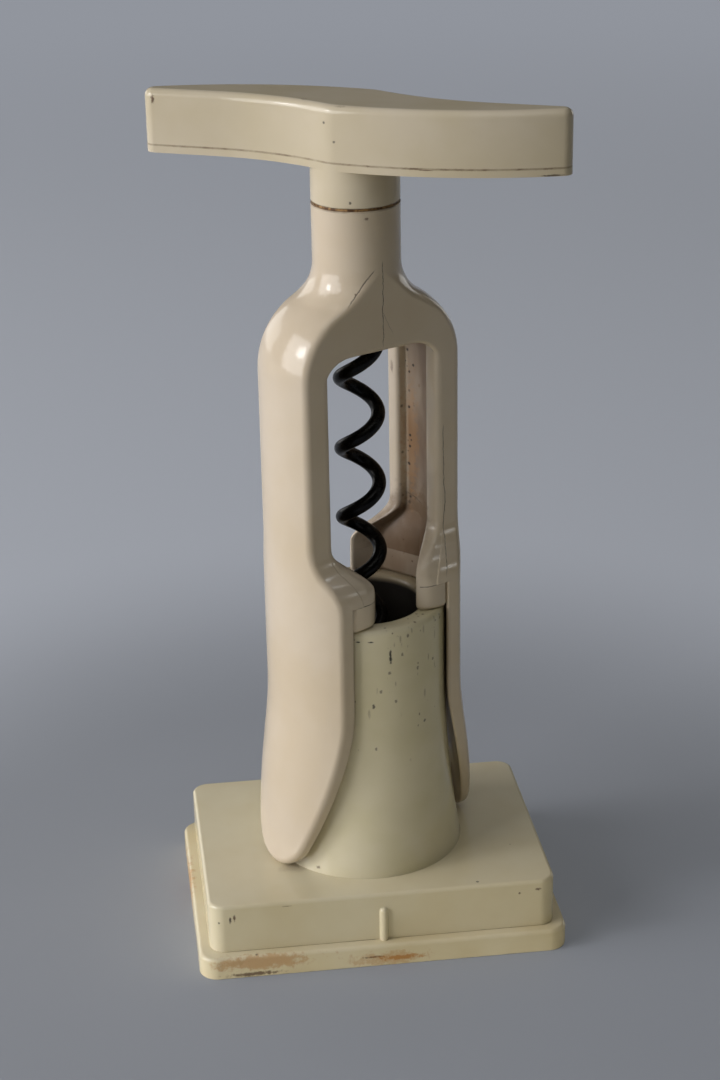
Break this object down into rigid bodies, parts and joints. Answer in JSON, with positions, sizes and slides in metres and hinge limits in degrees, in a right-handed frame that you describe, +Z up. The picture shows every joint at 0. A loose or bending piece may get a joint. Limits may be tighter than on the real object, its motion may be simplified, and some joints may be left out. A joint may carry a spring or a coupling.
{
  "type": "self-pulling corkscrew",
  "caption": "Self-pulling corkscrew with an S-shaped turning handle, standing on its own block and hollow post.",
  "frame": {"origin": "on the surface that the stand rests on, under the axis of the screw", "axes": "+Z up along the screw, +X through the yoke's two legs, +Y back through the yoke's window"},
  "size_m": [0.0846, 0.0766, 0.1611],
  "materials": {
    "stand_plastic": "glossy ivory moulded plastic, aged and faintly soiled",
    "yoke_plastic": "glossy ivory moulded plastic, aged and faintly soiled",
    "stop_plastic": "glossy ivory moulded plastic, aged and faintly soiled",
    "handle_plastic": "glossy ivory moulded plastic, aged and faintly soiled",
    "washer_plastic": "dark brown, grimy",
    "screw_coating": "slightly glossy black non-stick coating on steel wire"
  },
  "bodies": {
    "stand": {"base_tray": "stand_plastic", "base_shell": "stand_plastic", "stand_post": "stand_plastic"},
    "yoke": {"yoke_frame": "yoke_plastic", "lip_stop_left": "stop_plastic", "lip_stop_right": "stop_plastic"},
    "carrier": {"thrust_washer": "washer_plastic"},
    "screw": {"handle_shell": "handle_plastic", "handle_cover_left": "handle_plastic", "handle_cover_right": "handle_plastic", "worm": "screw_coating"}
  },
  "joints": [
    {"name": "yoke_lift", "type": "slide", "parent": "stand", "child": "yoke", "axis": [0, 0, 1], "range_m": [0, 0.075]},
    {"name": "screw_lift", "type": "slide", "parent": "yoke", "child": "carrier", "axis": [0, 0, 1], "range_m": [0, 0.13]},
    {"name": "handle_turn", "type": "hinge", "parent": "carrier", "child": "screw", "pos_m": [0, 0, 0.1431], "axis": [0, 0, 1], "continuous": true}
  ]
}
